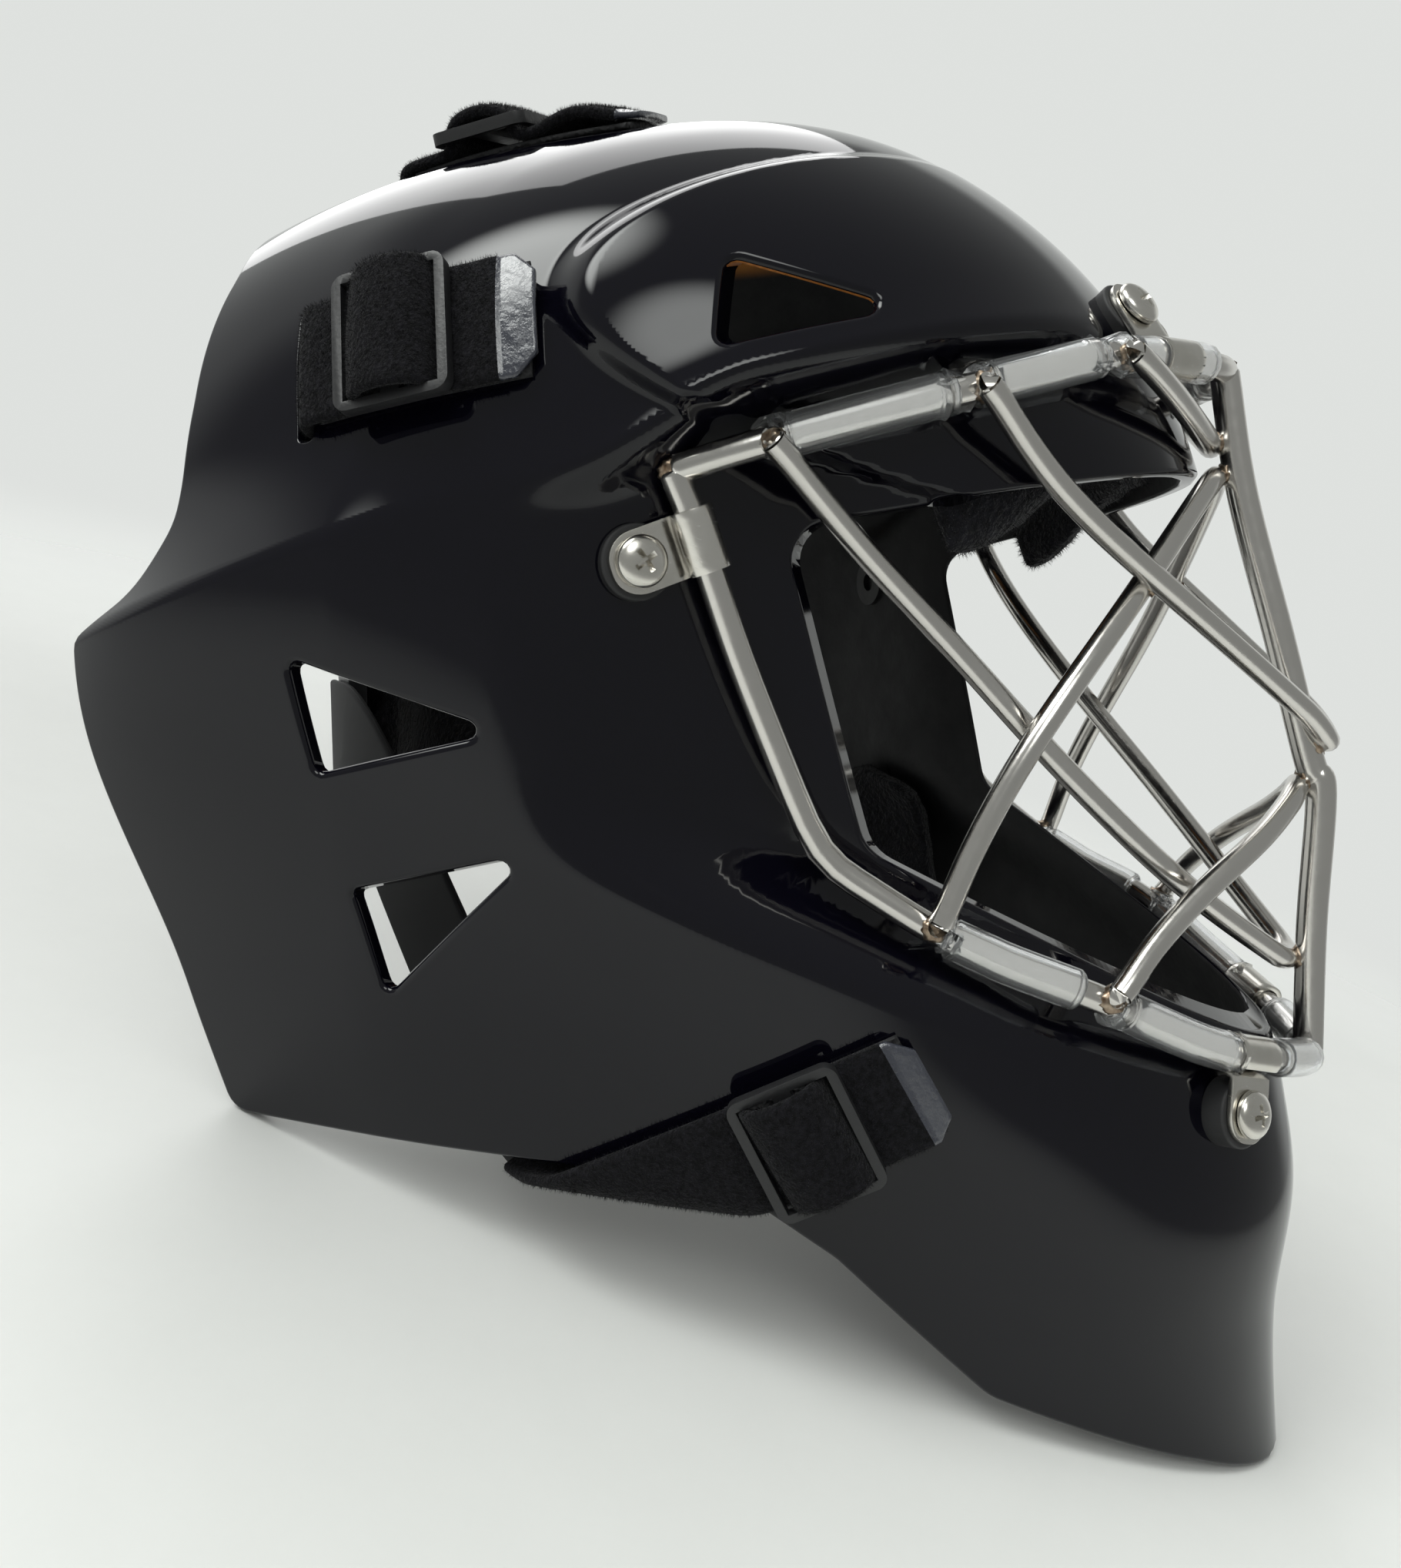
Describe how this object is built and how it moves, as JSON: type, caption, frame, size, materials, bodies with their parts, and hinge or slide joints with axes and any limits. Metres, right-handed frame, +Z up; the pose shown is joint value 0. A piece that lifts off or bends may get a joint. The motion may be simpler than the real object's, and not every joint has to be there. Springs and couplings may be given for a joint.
{
  "type": "goalie mask",
  "caption": "Full-head ice goalie mask: glossy vented shell with flared ears, welded wire cage on screwed clips, fleece-lined pads and a padded backplate hung on adjustable straps.",
  "frame": {"origin": "centre of the bounding box on the floor, with the mask lying on its chin and the rear corners of its shell", "axes": "+Z up from the floor, -Y to the front of the mask, +X to the wearer's left"},
  "size_m": [0.228, 0.2946, 0.2318],
  "materials": {
    "shell_lacquer": "high-gloss black lacquer over an amber moulded composite",
    "cage_steel": "polished round wire with heat-tinted welds",
    "clear_vinyl": "clear soft vinyl tube",
    "washer_rubber": "matt black rubber",
    "clip_steel": "bright stainless",
    "slide_nylon": "satin black nylon",
    "elastic_web": "black woven elastic",
    "strap_fleece": "black looped fleece webbing",
    "hook_tape": "black hook tape",
    "plate_plastic": "matt black moulded plate",
    "pad_fleece": "black fleece over foam"
  },
  "bodies": {
    "mask": {"shell": "shell_lacquer", "cage_top_wire": "cage_steel", "cage_lower_wire": "cage_steel", "cage_centre_bar": "cage_steel", "cage_vee_upper": "cage_steel", "cage_vee_middle": "cage_steel", "cage_vee_brow": "cage_steel", "cage_vee_lower": "cage_steel", "cage_vee_chin": "cage_steel", "top_tubes_right": "clear_vinyl", "top_tubes_left": "clear_vinyl", "lower_tubes_right": "clear_vinyl", "lower_tubes_left": "clear_vinyl", "temple_clip_right": "clip_steel", "temple_clip_left": "clip_steel", "brow_clip_right": "clip_steel", "brow_clip_left": "clip_steel", "chin_clip_right": "clip_steel", "chin_clip_left": "clip_steel", "clip_washers": "washer_rubber", "clip_screws": "clip_steel", "clip_nuts": "clip_steel", "side_strap_right": "strap_fleece", "side_strap_left": "strap_fleece", "side_patch_right": "hook_tape", "side_patch_left": "hook_tape", "side_slide_right": "slide_nylon", "side_slide_left": "slide_nylon", "top_strap_right": "strap_fleece", "top_strap_left": "strap_fleece", "top_patch_right": "hook_tape", "top_patch_left": "hook_tape", "top_slide_right": "slide_nylon", "top_slide_left": "slide_nylon", "jaw_strap_right": "strap_fleece", "jaw_strap_left": "strap_fleece", "jaw_patch_right": "hook_tape", "jaw_patch_left": "hook_tape", "jaw_slide_right": "slide_nylon", "jaw_slide_left": "slide_nylon", "side_elastic_right": "elastic_web", "side_elastic_left": "elastic_web", "top_elastic_right": "elastic_web", "top_elastic_left": "elastic_web", "jaw_elastic_right": "elastic_web", "jaw_elastic_left": "elastic_web", "forehead_pad": "pad_fleece", "crown_pad": "pad_fleece", "temple_pad_right": "pad_fleece", "temple_pad_left": "pad_fleece", "jaw_pad_right": "pad_fleece", "jaw_pad_left": "pad_fleece", "chin_cup": "pad_fleece"},
    "backplate": {"backplate": "plate_plastic", "backplate_liner": "pad_fleece"}
  },
  "joints": [
    {"name": "backplate_pull", "type": "slide", "parent": "mask", "child": "backplate", "axis": [0, 0.9376, -0.3479], "range_m": [0, 0.045], "stiffness_N_per_m": 400, "deforming": ["side_elastic_right", "side_elastic_left", "top_elastic_right", "top_elastic_left", "jaw_elastic_right", "jaw_elastic_left"]}
  ]
}
